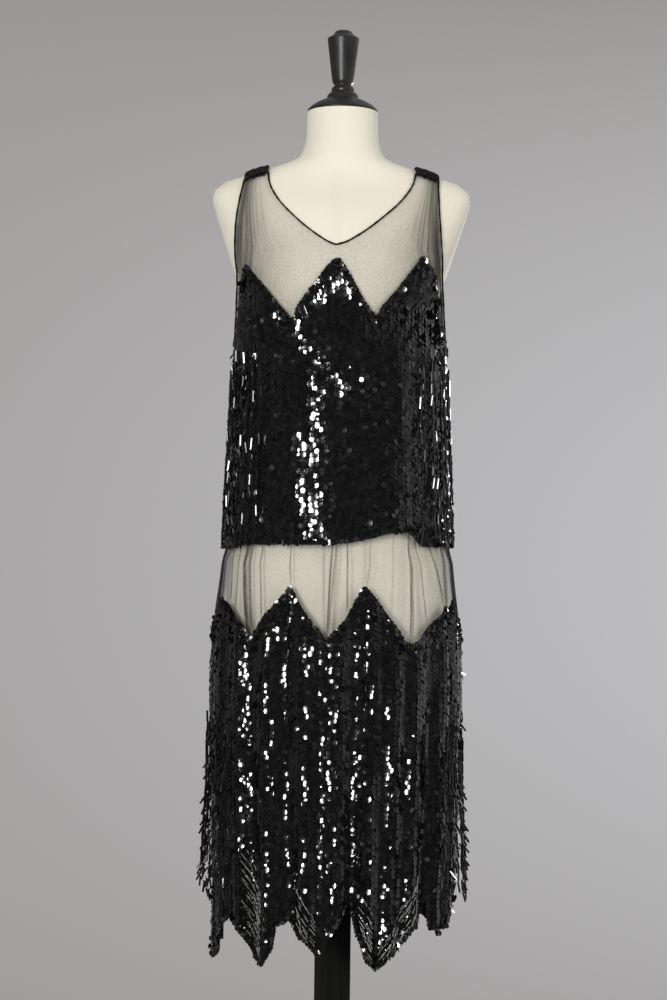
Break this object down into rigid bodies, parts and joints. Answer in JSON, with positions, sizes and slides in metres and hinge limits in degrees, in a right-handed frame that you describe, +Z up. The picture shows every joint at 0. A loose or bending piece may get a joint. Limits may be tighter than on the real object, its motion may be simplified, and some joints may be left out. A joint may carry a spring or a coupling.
{
  "type": "flapper dress on dress form",
  "caption": "Sleeveless beaded net dress with zigzag sequin fields, sheer yoke and hip band, bead fringes and pointed hem, on a limbless dress form with turned cap, square post and round base.",
  "frame": {"origin": "middle of the underside of the stand's base, on the floor", "axes": "+Z up along the post and the form, the dress's front faces -Y, +X is to the right seen from the front"},
  "size_m": [0.4, 0.4, 1.6474],
  "materials": {
    "sequinned_tulle": "black cotton net, sheer where bare, sewn with overlapping glossy black sequins",
    "ruched_tab": "matt black ruched velvet ribbon",
    "rolled_edge": "black rolled net edge",
    "jet_beads": "opaque polished black glass bugle beads",
    "form_cover": "cream close fitting cotton cover",
    "black_lacquer": "black lacquered turned wood",
    "base_paint": "satin black paint"
  },
  "bodies": {
    "root": {"form_base": "base_paint", "form_post": "black_lacquer", "form_torso": "form_cover", "form_neck_cap": "black_lacquer", "bodice_front": "sequinned_tulle", "bodice_back": "sequinned_tulle", "skirt_front": "sequinned_tulle", "skirt_back": "sequinned_tulle", "shoulder_tab_left": "ruched_tab", "shoulder_tab_right": "ruched_tab", "neck_binding_front": "rolled_edge", "neck_binding_back": "rolled_edge", "armhole_binding_left": "rolled_edge", "armhole_binding_right": "rolled_edge", "bodice_fringe_left": "jet_beads", "bodice_fringe_right": "jet_beads", "skirt_fringe_left": "jet_beads", "skirt_fringe_right": "jet_beads"}
  },
  "joints": []
}
